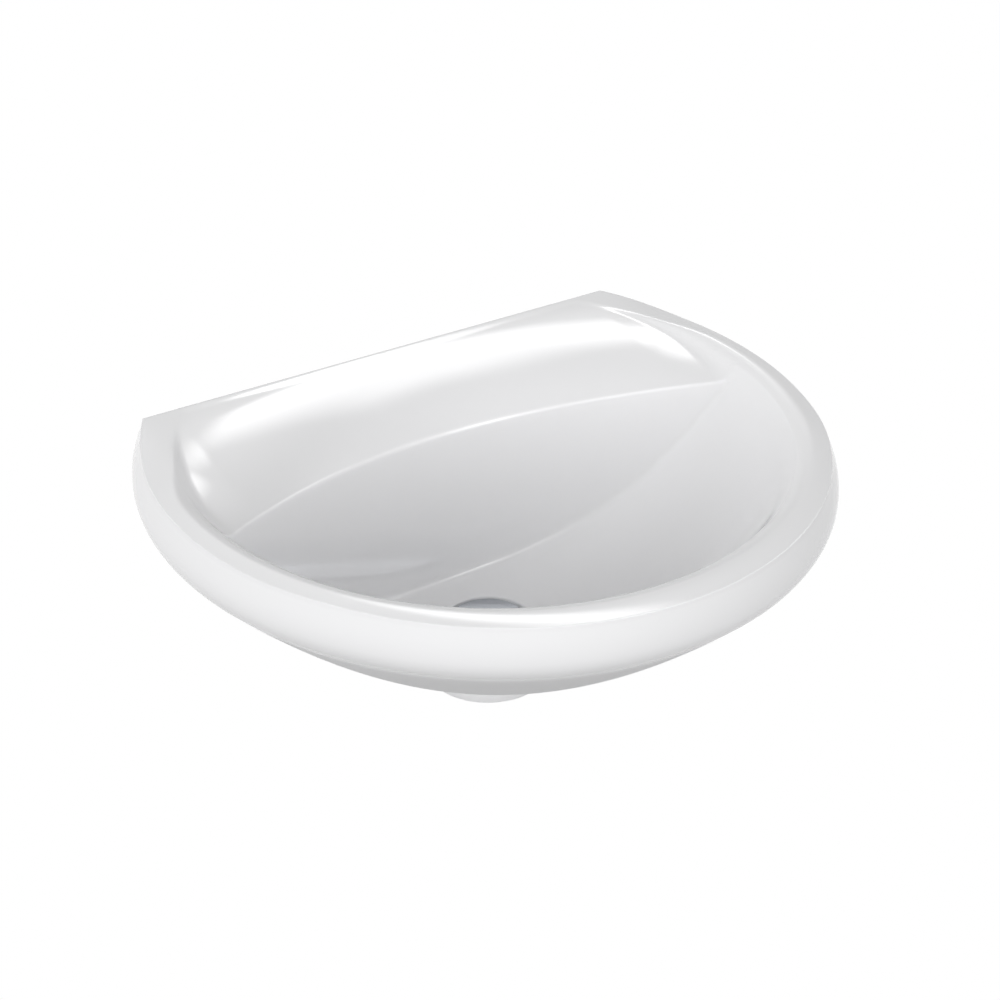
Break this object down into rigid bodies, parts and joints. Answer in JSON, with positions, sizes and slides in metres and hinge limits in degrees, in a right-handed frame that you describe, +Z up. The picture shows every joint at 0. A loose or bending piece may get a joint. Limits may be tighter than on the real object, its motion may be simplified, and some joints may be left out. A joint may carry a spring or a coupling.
{
  "type": "wall-hung washbasin",
  "caption": "D-shaped white ceramic washbasin for wall hanging, with a sloping back shelf, a flared front apron, a push-open waste and hidden wall bolts.",
  "frame": {"origin": "on the wall plane, midway between the two fixing bolts, 70 mm below the top edge", "axes": "+X to the basin's right as one faces the wall, +Y into the wall, +Z up; the front of the basin points along -Y"},
  "size_m": [0.45, 0.441, 0.2016],
  "materials": {
    "vitreous_china": "white glaze over vitreous china, glossy",
    "chromed_brass": "polished chrome plate over brass",
    "bare_brass": "turned brass",
    "gasket_rubber": "moulded black rubber",
    "white_nylon": "moulded nylon",
    "acetal": "moulded acetal",
    "orange_acetal": "moulded coloured acetal",
    "spring_steel": "drawn stainless spring wire",
    "zinc_steel": "bright zinc plate over steel",
    "grey_nylon": "moulded grey nylon",
    "white_polythene": "moulded white polythene"
  },
  "bodies": {
    "basin_body": {"basin": "vitreous_china", "waste_body": "chromed_brass", "waste_top_gasket": "gasket_rubber", "waste_lower_gasket": "gasket_rubber", "waste_slip_washer": "white_nylon", "waste_back_nut": "bare_brass", "latch_barrel": "acetal", "latch_end_cap": "acetal", "latch_spring": "spring_steel", "wall_plugs": "grey_nylon", "hanger_bolts": "zinc_steel", "fixing_sleeves": "white_nylon", "fixing_washers": "zinc_steel", "fixing_nuts": "zinc_steel", "nut_caps": "white_polythene"},
    "plug": {"plug_cover": "chromed_brass", "plug_seal": "gasket_rubber", "plug_stem": "bare_brass", "stem_lock_nut": "zinc_steel"},
    "ratchet": {"ratchet_ring": "orange_acetal"}
  },
  "joints": [
    {"name": "plug_slide", "type": "slide", "parent": "basin_body", "child": "plug", "axis": [0, 0, 1], "range_m": [0, 0.006], "deforming": ["latch_spring"]},
    {"name": "ratchet_turn", "type": "hinge", "parent": "plug", "child": "ratchet", "pos_m": [0, -0.1355, -0.098], "axis": [0, 0, 1], "range_deg": [0, 45]}
  ],
  "couplings": [
    {"joint": "ratchet_turn", "follows": "plug_slide", "rad_per_m": 130.8}
  ]
}
